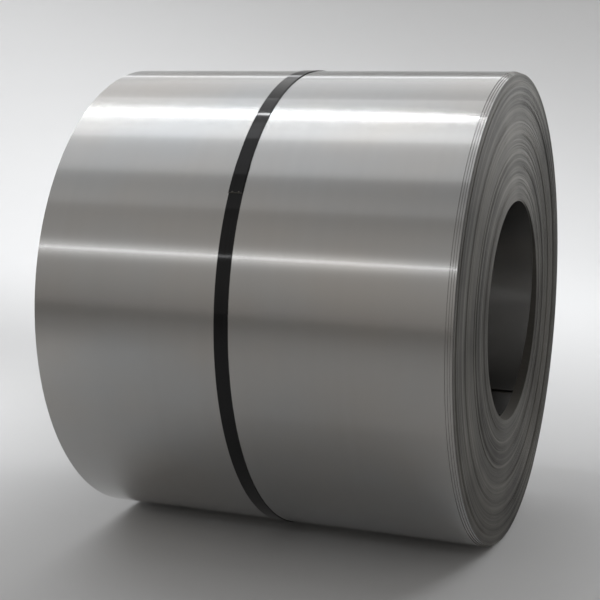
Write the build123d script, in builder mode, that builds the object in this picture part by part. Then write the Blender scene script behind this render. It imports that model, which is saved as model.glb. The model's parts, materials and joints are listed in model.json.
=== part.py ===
from build123d import *
import os
from math import atan, cos, degrees, radians, sin

os.makedirs("parts", exist_ok=True)

# A coil of cold-rolled steel strip, lying with its axis along X and held by one steel strap.
# Millimetres, Z up. The origin is on the floor, under the middle of the coil.
# Angles round the axis are in degrees, from +Y towards +Z.

# Strip and coil
strip_width = 950.0
strip_thickness = 1.5
outer_radius = 550.0
bore_radius = 254.0

# Turns on the ends: bands of turns that wandered along the axis as they were wound
band_count = 12
band_unevenness = 7.0
edge_wander = 1.5

# The waves that the bands follow, in radians from one band to the next
quick_wave = 1.9
slow_wave = 0.8
slow_share = 0.35
width_wave = 2.3

# The outermost wraps step back from the +X end, one after another
rim_wraps = 4
rim_step = 4.8

# The innermost wraps were started askew, so at the +X end their edge slants back into the bore
skewed_wraps = 2
skew_depth = 24.0

# The strip's first end, in the bore, and its last, outside: each is a step that fairs out over an arc.
# The strap presses the last end down, so its step is less than the strip's thickness.
head_angle = -62.0
head_arc = 60.0
tail_angle = -40.0
tail_arc = 60.0
tail_step = 1.0

# Strap round the coil, a little off the middle and slightly slanted
strap_width = 32.0
strap_thickness = 0.9
strap_clearance = 0.1
strap_offset = -23.0
strap_drift = 5.0

# Where the strap laps over itself: its free end, its double length and the ramp back to one layer
lap_angle = 147.5
lap_length = 70.0
lap_ramp = 25.0

# How far a cutting shape reaches past what it cuts
cut_margin = 5.0

# Worked out from the sizes above
strap_slant = degrees(atan(strap_drift / (2 * outer_radius)))
strap_inner = outer_radius + strap_clearance
strap_outer = strap_inner + strap_thickness
strap_reach = strap_outer * cos(radians(strap_slant)) + strap_width / 2 * sin(radians(strap_slant))
axis_height = strap_reach
coil_axis = Axis((0, 0, axis_height), (1, 0, 0))


def at(radius, angle):
    """A point on a plane across the axis, at a radius and an angle from +Y towards +Z."""
    return (radius * cos(radians(angle)), radius * sin(radians(angle)))


def band_shift(band):
    """How far a band of turns wandered along the axis: two waves that never quite repeat."""
    waves = sin(quick_wave * band) + slow_share * sin(slow_wave * band)
    return edge_wander * waves / (1 + slow_share)


def stepped(edges):
    """Corners of a stepped end, from the bore out. Each edge is its place along the axis and its radius."""
    corners = []
    inner = bore_radius
    for place, radius in edges:
        corners += [(place, inner), (place, radius)]
        inner = radius
    return corners


# The bands of turns, from the askew wraps out to the ones that step back
body_start = bore_radius + skewed_wraps * strip_thickness
body_end = outer_radius - rim_wraps * strip_thickness
band_pitch = (body_end - body_start) / band_count
bands = [(band_shift(0), body_start)]
for band in range(1, band_count):
    band_end = body_start + band * band_pitch + band_unevenness * sin(width_wave * band)
    bands.append((band_shift(band), band_end))
bands.append((band_shift(band_count), body_end))

# The coil is centred on its whole length, which the bands' wander adds to
shifts = [shift for shift, radius in bands]
coil_length = strip_width + max(shifts) - min(shifts)
near_edge = strip_width / 2 - (max(shifts) + min(shifts)) / 2
far_edge = near_edge - strip_width
near_steps = stepped(
    [(near_edge + shift, radius) for shift, radius in bands]
    + [(near_edge - wrap * rim_step, body_end + wrap * strip_thickness) for wrap in range(1, rim_wraps + 1)]
)
far_steps = stepped([(far_edge + shift, radius) for shift, radius in bands] + [(far_edge, outer_radius)])

# What the askew wraps lack at the +X end: a thin tube whose inner end is a slanted plane
skew_edge = near_steps[0][0]
skew_slant = degrees(atan(skew_depth / (2 * bore_radius)))
skew_middle = skew_edge - skew_depth / 2
skew_start = skew_edge - skew_depth - cut_margin
skew_plane = Plane((skew_middle, 0, axis_height), (0, 1, 0), (1, 0, 0)).rotated((0, skew_slant, 0))
with BuildPart() as skew_gap:
    with BuildSketch(Plane((skew_start, 0, axis_height), (0, 1, 0), (1, 0, 0))):
        Circle(body_start)
        Circle(bore_radius - cut_margin, mode=Mode.SUBTRACT)
    extrude(amount=skew_depth + 2 * cut_margin)
    split(bisect_by=skew_plane, keep=Keep.TOP)


def lap_gap(surface, depth, angle, arc):
    """What is missing beside an end of the strip: full depth at the step, none after the arc."""
    floor = surface + depth
    clear = surface - depth
    with BuildPart() as gap:
        with BuildSketch(Plane((-coil_length / 2 - cut_margin, 0, axis_height), (0, 1, 0), (1, 0, 0))):
            with BuildLine():
                Line(at(clear - depth, angle), at(floor, angle))
                ThreePointArc(at(floor, angle), at(surface, angle + arc), at(clear, angle + 2 * arc))
                Line(at(clear, angle + 2 * arc), at(clear - depth, angle + 2 * arc))
                ThreePointArc(
                    at(clear - depth, angle + 2 * arc),
                    at(clear - depth, angle + arc),
                    at(clear - depth, angle),
                )
            make_face()
        extrude(amount=coil_length + 2 * cut_margin)
    return gap.part


head_gap = lap_gap(bore_radius, strip_thickness, head_angle, -head_arc)
tail_gap = lap_gap(outer_radius, -tail_step, tail_angle, tail_arc)

# The coil: one turned solid
with BuildPart() as coil:
    with BuildSketch(Plane((0, 0, axis_height), (1, 0, 0), (0, -1, 0))):
        with BuildLine():
            Polyline(*near_steps, *reversed(far_steps), close=True)
        make_face()
    revolve(axis=coil_axis)
    add(skew_gap.part, mode=Mode.SUBTRACT)
    add(head_gap, mode=Mode.SUBTRACT)
    add(tail_gap, mode=Mode.SUBTRACT)
coil.part.label = "coil"
export_step(coil.part, "parts/coil.step")

# The strap: one band round the coil, whose free end laps over its start
lap_end = lap_angle - degrees(lap_length / strap_outer)
ramp_end = lap_end - degrees(lap_ramp / strap_outer)
lap_outer = strap_outer + strap_thickness
strap_plane = Plane((strap_offset, 0, axis_height), (0, 1, 0), (1, 0, 0)).rotated((0, -strap_slant, 0))
with BuildPart() as strap:
    with BuildSketch(strap_plane):
        Circle(strap_outer)
        with BuildLine():
            Line(at(strap_inner, lap_angle), at(lap_outer, lap_angle))
            ThreePointArc(
                at(lap_outer, lap_angle),
                at(lap_outer, (lap_angle + lap_end) / 2),
                at(lap_outer, lap_end),
            )
            Line(at(lap_outer, lap_end), at(strap_outer, ramp_end))
            Line(at(strap_outer, ramp_end), at(strap_inner, ramp_end))
            ThreePointArc(
                at(strap_inner, ramp_end),
                at(strap_inner, (lap_angle + ramp_end) / 2),
                at(strap_inner, lap_angle),
            )
        make_face()
        Circle(strap_inner, mode=Mode.SUBTRACT)
    extrude(amount=strap_width / 2, both=True)
strap.part.label = "strap"
export_step(strap.part, "parts/strap.step")
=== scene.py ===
import bpy
import json
import math
import random
from collections import defaultdict
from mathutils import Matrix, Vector


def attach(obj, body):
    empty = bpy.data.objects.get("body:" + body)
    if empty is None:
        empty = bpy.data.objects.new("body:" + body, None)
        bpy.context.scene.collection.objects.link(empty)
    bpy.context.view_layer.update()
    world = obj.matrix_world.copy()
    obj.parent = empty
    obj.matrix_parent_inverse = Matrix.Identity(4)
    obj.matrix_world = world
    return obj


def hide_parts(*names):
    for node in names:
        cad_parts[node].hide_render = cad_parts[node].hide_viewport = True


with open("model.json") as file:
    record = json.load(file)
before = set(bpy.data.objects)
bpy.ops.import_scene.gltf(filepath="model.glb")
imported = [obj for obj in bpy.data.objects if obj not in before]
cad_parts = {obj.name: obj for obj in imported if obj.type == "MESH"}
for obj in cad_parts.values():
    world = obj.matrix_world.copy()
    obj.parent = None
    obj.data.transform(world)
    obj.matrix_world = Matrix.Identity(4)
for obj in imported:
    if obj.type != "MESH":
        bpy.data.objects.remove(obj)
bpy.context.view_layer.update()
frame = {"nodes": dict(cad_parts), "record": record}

# Metres. The coil lies along X with its axis at axis_height, over a floor at z = 0.
# Angles round the axis are in radians, from +Y towards +Z.
random.seed(7)
MM = 0.001
TURN = 2 * math.pi

bore = next(mount for mount in frame["record"]["mounts"] if mount["name"] == "bore")
axis_height = bore["pos_m"][2]
bore_radius = bore["dims"]["r_mm"] * MM


def around(x, radius, angle):
    """The point at a place along the axis, a radius and an angle."""
    return x, radius * math.cos(angle), axis_height + radius * math.sin(angle)


def polar(point):
    """Place along the axis, radius and angle of a point."""
    up = point.z - axis_height
    return point.x, math.hypot(point.y, up), math.atan2(up, point.y)


def smooth(share):
    """Eases from 0 to 1 as share does."""
    share = min(max(share, 0.0), 1.0)
    return share * share * (3 - 2 * share)


def smooth_mesh(name, points, faces, materials, slots=None):
    """An object from points and faces, smooth except along its sharper edges."""
    smooth_up_to = math.radians(30)
    mesh = bpy.data.meshes.new(name)
    mesh.from_pydata(points, [], faces)
    for material in materials:
        mesh.materials.append(material)
    if slots:
        mesh.polygons.foreach_set("material_index", slots)
    mesh.shade_smooth()
    mesh.set_sharp_from_angle(angle=smooth_up_to)
    mesh.update()
    made = bpy.data.objects.new(name, mesh)
    bpy.context.scene.collection.objects.link(made)
    return made


# Materials

class Nodes:
    """A material's node tree, with one short call for each node."""

    def __init__(self, name):
        self.material = bpy.data.materials.new(name)
        self.material.use_nodes = True
        self.tree = self.material.node_tree
        self.shader = self.tree.nodes["Principled BSDF"]

    def add(self, kind, inputs=None, **settings):
        """Adds a node. Inputs are values or other nodes' outputs."""
        node = self.tree.nodes.new("ShaderNode" + kind)
        for setting, value in settings.items():
            setattr(node, setting, value)
        for socket, value in (inputs or {}).items():
            self.put(node.inputs[socket], value)
        return node

    def put(self, socket, value):
        """Links an output to a socket, or sets its value."""
        if isinstance(value, bpy.types.NodeSocket):
            self.tree.links.new(value, socket)
        else:
            socket.default_value = value

    def set(self, **inputs):
        """Sets the shader's sockets, with _ for a space in their names."""
        for socket, value in inputs.items():
            self.put(self.shader.inputs[socket.replace("_", " ")], value)

    def math(self, operation, *values):
        """A sum, product or the like of numbers and outputs."""
        node = self.tree.nodes.new("ShaderNodeMath")
        node.operation = operation
        for socket, value in zip(node.inputs, values):
            self.put(socket, value)
        return node.outputs[0]

    def stretched(self, scale, offset=(0, 0, 0)):
        """The object's own coordinates, scaled along each axis."""
        here = self.add("TexCoord").outputs["Object"]
        return self.add("Mapping", {"Vector": here, "Location": offset, "Scale": scale}).outputs[0]

    def noise(self, vector, scale=1.0, detail=2.0, roughness=0.5):
        inputs = {"Vector": vector, "Scale": scale, "Detail": detail, "Roughness": roughness}
        return self.add("TexNoise", inputs).outputs["Fac"]

    def spread(self, value, low, high):
        """Maps 0.3 to 0.7 of a noise onto a low and a high number."""
        inputs = {"Value": value, "From Min": 0.3, "From Max": 0.7, "To Min": low, "To Max": high}
        return self.add("MapRange", inputs).outputs[0]

    def blend(self, share, first, second):
        """Mixes two colours."""
        mix = self.add("Mix", data_type="RGBA")
        self.put(mix.inputs[0], share)
        self.put(mix.inputs[6], first)
        self.put(mix.inputs[7], second)
        return mix.outputs[2]

    def bump(self, height, strength, distance):
        return self.add("Bump", {"Height": height, "Strength": strength, "Distance": distance}).outputs[0]


def rolled_steel():
    """Cold-rolled strip: its fine grain smears reflections, and a film of oil adds a sharp one."""
    n = Nodes("rolled_steel")
    grain = n.noise(n.stretched((1400, 3.0, 3.0)), detail=2.0)
    streaks = n.noise(n.stretched((60, 0.8, 0.8), (3.1, 0, 0)), detail=4.0, roughness=0.6)
    clouds = n.noise(n.stretched((2.2, 3.0, 3.0), (0, 5.2, 1.7)), detail=3.0)
    warm = (0.44, 0.42, 0.395, 1)
    cool = (0.415, 0.425, 0.43, 1)
    black = (0, 0, 0, 1)
    tone = n.blend(n.spread(clouds, 0, 1), warm, cool)
    shade = n.spread(streaks, 0.97, 1.0)
    n.set(
        Base_Color=n.blend(n.math("SUBTRACT", 1.0, shade), tone, black),
        Metallic=1.0,
        Roughness=n.spread(grain, 0.23, 0.25),
        Anisotropic=0.8,
        Anisotropic_Rotation=0.25,
        Coat_Weight=0.8,
        Coat_Roughness=0.07,
        Tangent=n.add("Tangent", direction_type="RADIAL", axis="X").outputs[0],
        Normal=n.bump(grain, 0.008, 0.0001),
    )
    return n.material


def slit_edges():
    """The strip's slit edges on the coil's ends: dull steel whose tone changes from turn to turn, with a
    painted highlight on the first wraps at the bore.
    """
    n = Nodes("slit_edges")
    across = n.stretched((0, 1, 1))
    from_axis = n.add("VectorMath", {0: across, 1: (0, 0, axis_height)}, operation="SUBTRACT").outputs[0]
    radius = n.add("VectorMath", {0: from_axis}, operation="LENGTH").outputs["Value"]
    turn = n.math("DIVIDE", radius, strip_thickness)
    fine = n.noise(n.add("CombineXYZ", {"X": turn}).outputs[0], scale=0.6, detail=2.0)
    groups = n.noise(n.add("CombineXYZ", {"X": turn, "Y": 3.7}).outputs[0], scale=0.13, detail=2.0)
    round_about = n.noise(n.stretched((1, 3, 3)), detail=3.0)
    bright = (0.165, 0.157, 0.142, 1)
    dark = (0.018, 0.017, 0.015, 1)
    share = n.math("MULTIPLY", n.math("ADD", n.math("ADD", fine, groups), round_about), 1 / 3)
    # Painted highlight: the edges of the first wraps at the bore are made lighter, standing in for the light
    # they catch.
    painted_highlight_first_wraps = {
        "Value": radius,
        "From Min": bore_radius + 1.8 * strip_thickness,
        "From Max": bore_radius + 2.4 * strip_thickness,
        "To Min": 0.16,
        "To Max": 0.0,
    }
    share = n.math("ADD", share, n.add("MapRange", painted_highlight_first_wraps).outputs[0])
    contrast = n.add("MapRange", {"Value": share, "From Min": 0.38, "From Max": 0.62}).outputs[0]
    n.set(
        Base_Color=n.blend(contrast, dark, bright),
        Metallic=1.0,
        Roughness=n.spread(fine, 0.58, 0.70),
        Normal=n.bump(fine, 0.35, 0.0004),
    )
    return n.material


def strap_paint():
    """Black waxed strapping: a dark coat, glossier than the strip, a little rubbed."""
    n = Nodes("strap_paint")
    rubbed = n.noise(n.stretched((260, 6, 6)), detail=3.0)
    waves = n.noise(n.stretched((30, 14, 14), (1.3, 0, 0)), detail=2.0)
    black = (0.0025, 0.0025, 0.003, 1)
    worn = (0.006, 0.006, 0.0065, 1)
    n.set(
        Base_Color=n.blend(n.spread(rubbed, 0, 1), black, worn),
        Metallic=0.0,
        Specular_IOR_Level=0.28,
        Roughness=n.spread(rubbed, 0.05, 0.09),
        Normal=n.bump(waves, 0.15, 0.0006),
    )
    return n.material


# The coil, read from the CAD solid's corners

coil_corners = [polar(v.co) for v in frame["nodes"]["coil"].data.vertices]
outer_radius = max(radius for x, radius, angle in coil_corners)
hair = 0.05 * MM


def bands_at(side):
    """The flat bands of turns on one end, each as inner radius, outer radius and place, from the bore out.

    Each band lies between two circles of corners at one place. Two bands may share a place.
    """
    corners_of_a_circle = 40
    circles = defaultdict(list)
    for x, radius, angle in coil_corners:
        if x * side > 0:
            circles[round(x, 5), round(radius, 4)].append(radius)
    radii_at = defaultdict(list)
    for (x, rounded_radius), radii in circles.items():
        if len(radii) > corners_of_a_circle:
            radii_at[x].append(sum(radii) / len(radii))
    bands = []
    for x, radii in radii_at.items():
        radii.sort()
        bands += [(inner, outer, x) for inner, outer in zip(radii[::2], radii[1::2])]
    return sorted(bands)


def angle_of_line(low, high):
    """Angle of the line of corners whose radius is the nearest to the middle of two radii."""
    middle = (low + high) / 2
    found = [(abs(radius - middle), angle) for x, radius, angle in coil_corners if low < radius < high]
    return min(found)[1]


near_bands = bands_at(1)
far_bands = bands_at(-1)
strip_thickness = near_bands[-1][1] - near_bands[-1][0]
rim_step = near_bands[-2][2] - near_bands[-1][2]
askew_edge = [x for x, radius, angle in coil_corners if x > 0 and radius < bore_radius + hair]
askew_middle = (max(askew_edge) + min(askew_edge)) / 2
askew_swing = (max(askew_edge) - min(askew_edge)) / 2
head_floor = bore_radius + strip_thickness
head_angle = angle_of_line(head_floor - hair, head_floor + hair)
tail_floor = min(radius for x, radius, angle in coil_corners if radius > near_bands[-1][0] + hair)
tail_angle = angle_of_line(tail_floor - hair, tail_floor + hair)

# The strip is wound as a spiral from its first end in the bore to its last end on the outside,
# with this many stations to a turn
stations = 120
tail_station = round((tail_angle - head_angle) % TURN / TURN * stations)
whole_turns = round((outer_radius - bore_radius) / strip_thickness - tail_station / stations) - 1
last = whole_turns * stations + tail_station
pitch = (outer_radius - bore_radius) / (last / stations + 1)


def band_place(bands, radius):
    """Place of the strip's edge at a radius: it wanders from one band to the next over a few turns."""
    turns_between_bands = 5
    place = bands[0][2]
    for inner, outer, x in bands[1:]:
        reach = turns_between_bands * strip_thickness if abs(x - place) < rim_step / 2 else hair
        place += (x - place) * smooth((radius - inner) / reach + 0.5)
    return place


def wander_of_turns():
    """How far each turn's edge sits back from its band, changing smoothly along the strip."""
    knots_a_turn, spare_turns = 2, 3
    chance_of_a_shift, furthest_shift, jitter = 0.16, 0.55, 0.25
    knots = []
    back = 0.0
    for i in range(knots_a_turn * (whole_turns + spare_turns)):
        if random.random() < chance_of_a_shift:
            back = random.random() * furthest_shift * MM
        knots.append(back + random.random() * jitter * MM)

    def wander(turn):
        knot, share = divmod(turn * knots_a_turn, 1)
        here, after = knots[int(knot)], knots[int(knot) + 1]
        return here + (after - here) * smooth(share)

    return wander


def wound_coil():
    """The coil as one closed mesh of its spiral strip, with every turn's edge on both ends."""
    wander = wander_of_turns()
    # In turns from the strip's first end, between which its askew edge comes flush
    askew_until, flush_from = 1.3, 1.8
    # A share of the pitch
    gap_between_turns = 0.07
    # How far an edge's outer corner sits back from its inner one
    roll_over = 0.12 * MM
    # The strip's first end springs inward, off the turn outside it, over this many stations
    lifted, lift = 9, 3.0 * MM
    # Keeps the edges of the far end inside the CAD solid
    far_back = 0.8 * MM
    points = []
    for i in range(last + 1):
        turn = i / stations
        angle = head_angle + turn * TURN
        inner = bore_radius + pitch * turn
        outer = inner + pitch * (1 if i >= last - stations else 1 - gap_between_turns)
        if i < lifted:
            inner -= lift * (1 - i / lifted) ** 2
            outer -= lift * (1 - i / lifted) ** 2
        back = wander(turn)
        near = band_place(near_bands, bore_radius + pitch * turn + hair) - back
        far = band_place(far_bands, bore_radius + pitch * turn + hair) + far_back - back
        askew = askew_middle + askew_swing * math.sin(angle) - back
        near = askew + (near - askew) * smooth((turn - askew_until) / (flush_from - askew_until))
        points += [around(near, inner, angle), around(near - roll_over, outer, angle)]
        points += [around(far, inner, angle), around(far + roll_over, outer, angle)]

    def near_in(i):
        return 4 * i

    def near_out(i):
        return 4 * i + 1

    def far_in(i):
        return 4 * i + 2

    def far_out(i):
        return 4 * i + 3

    faces, slots = [], []

    def face(slot, *corners):
        faces.append(corners)
        slots.append(slot)

    wall, edge = 0, 1
    # A turn's wall looks bare where more of it than this stands out. In the recess at the bore it takes the
    # darker edge material instead, as painted shade.
    bare = 1.5 * MM
    shaded_recess_turns = 3

    def between(below, above):
        """Material of the face from one turn's outer corner to the next turn's inner one."""
        return wall if abs(points[below][0] - points[above][0]) > bare else edge

    for i in range(last):
        face(edge, near_in(i), near_out(i), near_out(i + 1), near_in(i + 1))
        face(edge, far_in(i), far_in(i + 1), far_out(i + 1), far_out(i))
        over = i + stations
        if i >= lifted and over < last:
            # Painted shade: the first turns' walls in the bore's recess get the darker edge material.
            kind = edge if i < shaded_recess_turns * stations else between(near_out(i), near_in(over))
            face(kind, near_out(i), near_in(over), near_in(over + 1), near_out(i + 1))
            kind = between(far_out(i), far_in(over))
            face(kind, far_out(i), far_out(i + 1), far_in(over + 1), far_in(over))
        if i < stations + lifted:
            face(wall, near_in(i), near_in(i + 1), far_in(i + 1), far_in(i))
        if i < lifted or i >= last - stations:
            face(wall, near_out(i), far_out(i), far_out(i + 1), near_out(i + 1))
    face(edge, near_in(0), far_in(0), far_out(0), near_out(0))
    over = lifted + stations
    face(edge, near_out(lifted), near_in(over), far_in(over), far_out(lifted))
    under = last - stations
    face(edge, near_out(last), far_out(last), far_in(last), far_out(under), near_out(under), near_in(last))
    return smooth_mesh("coil_strip", points, faces, [rolled_steel(), slit_edges()], slots)


coil = wound_coil()
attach(coil, "root")
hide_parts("coil")


# The strap, read from the CAD ring's corners

strap_corners = [polar(v.co) for v in frame["nodes"]["strap"].data.vertices]
strap_inner = min(radius for x, radius, angle in strap_corners)
lap_outer = max(radius for x, radius, angle in strap_corners)
strap_thickness = (lap_outer - strap_inner) / 2
top_x = [x for x, radius, angle in strap_corners if math.radians(85) < angle < math.radians(95)]
low_x = [x for x, radius, angle in strap_corners if math.radians(-95) < angle < math.radians(-85)]
strap_width = max(low_x) - min(low_x)
top_middle = sum(top_x) / len(top_x)
low_middle = sum(low_x) / len(low_x)
strap_middle = (top_middle + low_middle) / 2
strap_swing = (top_middle - low_middle) / 2
lap_angles = [angle for x, radius, angle in strap_corners if radius > strap_inner + 1.5 * strap_thickness]
lap_start, lap_end = min(lap_angles), max(lap_angles)


def strap_ribbon():
    """One strap from its covered end, round the coil, to its free end on top of its start."""
    rounding = 0.25 * MM
    half = strap_width / 2 - hair
    top = strap_thickness - hair
    section = [
        (-half + rounding, 0), (half - rounding, 0), (half, rounding), (half, top - rounding),
        (half - rounding, top), (-half + rounding, top), (-half, top - rounding), (-half, rounding),
    ]
    # Where the second layer climbs onto the first
    ramp = math.radians(2.6)
    steps = 360
    length = TURN + lap_end - lap_start
    # The strap's two ends lie a little off each other, and its cut end is bare
    aside = 0.5 * MM
    cut_back = 2.2 * MM / strap_inner
    rolled_down = 0.35 * MM
    angles = [lap_start + length * step / steps for step in range(steps)]
    angles += [lap_start + length - cut_back, lap_start + length]
    points, faces, slots = [], [], []
    paint, bare = 0, 1
    for step, angle in enumerate(angles):
        lift = strap_thickness * smooth((angle - (lap_start + TURN - ramp)) / ramp)
        shift = aside * (2 * step / steps - 1)
        middle = strap_middle + strap_swing * math.sin(angle) - shift
        sheared = rolled_down if step == len(angles) - 1 else 0
        for x, z in section:
            low = sheared if z > strap_thickness / 2 else 0
            points.append(around(middle + x, strap_inner + lift + z - low, angle))
    count = len(section)
    for step in range(len(angles) - 1):
        here, after = step * count, (step + 1) * count
        for i in range(count):
            j = (i + 1) % count
            faces.append((here + i, after + i, after + j, here + j))
            slots.append(bare if step == len(angles) - 2 and i == 4 else paint)
    faces.append(tuple(range(count)))
    faces.append(tuple(reversed(range((len(angles) - 1) * count, len(angles) * count))))
    slots += [bare, bare]
    weld_place = 7.5 * MM
    for side in (-1, 1):
        spot_weld(points, faces, slots, bare, side * weld_place)
    return smooth_mesh("strap_ribbon", points, faces, [strap_paint(), slit_edges()], slots)


def spot_weld(points, faces, slots, slot, across):
    """A low dome of bare metal near the strap's free end, which holds it to the layer below."""
    size, back = 2.4 * MM, 3.4 * MM
    low, high, crown = -0.3 * MM, 0.35 * MM, 0.55
    sides = 10
    first = len(points)
    top = strap_inner + 2 * strap_thickness
    middle = strap_middle + strap_swing * math.sin(lap_end)
    for reach, height in ((1.0, low), (1.0, 0.0), (crown, high)):
        for i in range(sides):
            turn = TURN * i / sides
            x = middle + across + size * reach * math.cos(turn)
            points.append(around(x, top + height, lap_end - (back - size * reach * math.sin(turn)) / top))
    for row in range(2):
        for i in range(sides):
            j = (i + 1) % sides
            here, above = first + row * sides, first + (row + 1) * sides
            faces.append((here + i, above + i, above + j, here + j))
    faces.append(tuple(first + i for i in range(sides)))
    faces.append(tuple(first + 2 * sides + i for i in reversed(range(sides))))
    slots += [slot] * (2 * sides + 2)


strap = strap_ribbon()
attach(strap, "root")
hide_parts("strap")


# Floor and backdrop: one pale surface that curves up into a wall behind the coil

def pale_floor():
    """Plain pale matt surface."""
    n = Nodes("pale_floor")
    n.set(Base_Color=(0.62, 0.62, 0.62, 1), Roughness=0.9, Specular_IOR_Level=0.2)
    return n.material


def studio_floor():
    """Flat near the coil. Behind it the floor sweeps up into a wall, which runs out towards the sides."""
    flat, sweep, top, far = 4.6, 2.4, 5.0, 40.0
    rise_from, rise_over = -0.35, 0.6
    bends, sides = 12, 96
    points, faces = [(0, 0, 0)], []
    for i in range(sides):
        angle = TURN * i / sides
        rise = smooth((math.sin(angle) - rise_from) / rise_over)
        row = [(flat, 0)]
        for bend in range(1, bends + 1):
            turn = math.pi / 2 * bend / bends
            row.append((flat + sweep * math.sin(turn), rise * sweep * (1 - math.cos(turn))))
        row.append((flat + sweep + (1 - rise) * far, rise * top))
        points += [(reach * math.cos(angle), reach * math.sin(angle), z) for reach, z in row]
    count = bends + 2
    for i in range(sides):
        here, after = 1 + i * count, 1 + (i + 1) % sides * count
        faces.append((0, here, after))
        faces += [(here + k, here + k + 1, after + k + 1, after + k) for k in range(count - 1)]
    return smooth_mesh("studio_floor", points, faces, [pale_floor()])


studio_floor()


# Camera: where the photograph's perspective puts it, in outer radii from the middle of the near end

camera_right, camera_back, camera_up = 1.1902, 5.5170, 1.0235
camera_data = bpy.data.cameras.new("camera")
camera_data.lens = 80.1
camera_data.sensor_width = 36.0
camera = bpy.data.objects.new("camera", camera_data)
face_x = near_bands[0][2]
camera.location = (
    face_x + camera_right * outer_radius,
    -camera_back * outer_radius,
    axis_height + camera_up * outer_radius,
)
swing = math.radians(21.43)
dip = math.radians(9.98)
looking = Vector((-math.sin(swing) * math.cos(dip), math.cos(swing) * math.cos(dip), -math.sin(dip)))
camera.rotation_euler = looking.to_track_quat("-Z", "Y").to_euler()
bpy.context.scene.collection.objects.link(camera)
bpy.context.scene.camera = camera
bpy.context.scene.view_settings.view_transform = "Standard"


# Light: soft lamps along the coil, placed by where the camera sees them shine on it, and lamps over the floor

def area_lamp(name, radiance, place, facing, length, width, spread=180):
    """A soft lamp of even brightness that the camera doesn't see."""
    light = bpy.data.lights.new(name, "AREA")
    light.shape = "RECTANGLE"
    light.color = (0.965, 0.98, 1.0)
    light.size = length
    light.size_y = width
    light.spread = math.radians(spread)
    light.energy = radiance * math.pi * length * width
    made = bpy.data.objects.new(name, light)
    made.location = place
    made.rotation_euler = Vector(facing).to_track_quat("-Z", "Y").to_euler()
    made.visible_camera = False
    bpy.context.scene.collection.objects.link(made)


def shine(name, radiance, up, away, middle_x, length, width):
    """A lamp along the coil that shines at an angle up its round surface, at a distance from that surface."""
    up = math.radians(up)
    y, z = -outer_radius * math.cos(up), axis_height + outer_radius * math.sin(up)
    sight = math.atan2(camera.location.z - z, y - camera.location.y)
    bounce = 2 * up - sight
    towards_y, towards_z = -math.cos(bounce), math.sin(bounce)
    place = (middle_x, y + away * towards_y, z + away * towards_z)
    area_lamp(name, radiance, place, (0, -towards_y, -towards_z), length, width)


shine("key_core", 22.0, 56, 2.0, -1.75, 3.5, 0.044)
shine("key_glow", 0.95, 55, 2.1, -1.8, 4.0, 1.3)
shine("key_soft", 0.48, 45, 2.3, -1.6, 4.2, 1.5)
shine("key_low", 0.24, 39.5, 2.3, -1.6, 4.2, 2.2)
shine("rear_soft", 0.52, 70, 5.0, -0.8, 7.0, 3.0)
shine("front_strip", 5.4, 18, 4.4, -3.3, 6.2, 0.09)
shine("back_strip", 1.2, 77.5, 3.6, -1.6, 4.2, 0.2)
area_lamp("rear_floor", 1.85, (-1.7, 3.4, 4.2), (0, 0.2, -1), 7.0, 3.0, 100)
area_lamp("left_floor", 1.6, (-2.1, -0.4, 3.0), (0, 0, -1), 1.2, 2.0, 44)
area_lamp("right_floor", 1.2, (1.9, -0.7, 3.0), (0, 0, -1), 0.9, 2.0, 44)
area_lamp("end_soft", 7.3, (2.6, 3.4, 1.9), (-0.6, -1, -0.3), 1.6, 1.0, 130)


def pale_walls():
    """Surroundings like a room with pale walls and a darker ceiling, by height."""
    world = bpy.data.worlds.new("surroundings")
    world.use_nodes = True
    tree = world.node_tree
    height = tree.nodes.new("ShaderNodeSeparateXYZ")
    tree.links.new(tree.nodes.new("ShaderNodeTexCoord").outputs["Generated"], height.inputs[0])
    both = tree.nodes.new("ShaderNodeMath")
    both.operation = "MULTIPLY"
    walls = {"From Min": -0.05, "From Max": 0.3, "To Min": 0.34, "To Max": 0.47}
    ceiling = {"From Min": 0.55, "From Max": 0.95, "To Min": 1.0, "To Max": 0.28}
    for i, settings in enumerate((walls, ceiling)):
        part = tree.nodes.new("ShaderNodeMapRange")
        part.interpolation_type = "SMOOTHSTEP"
        for socket, value in settings.items():
            part.inputs[socket].default_value = value
        tree.links.new(height.outputs["Z"], part.inputs["Value"])
        tree.links.new(part.outputs[0], both.inputs[i])
    tree.links.new(both.outputs[0], tree.nodes["Background"].inputs["Strength"])
    tree.nodes["Background"].inputs["Color"].default_value = (1, 0.975, 0.945, 1)
    return world


bpy.context.scene.world = pale_walls()
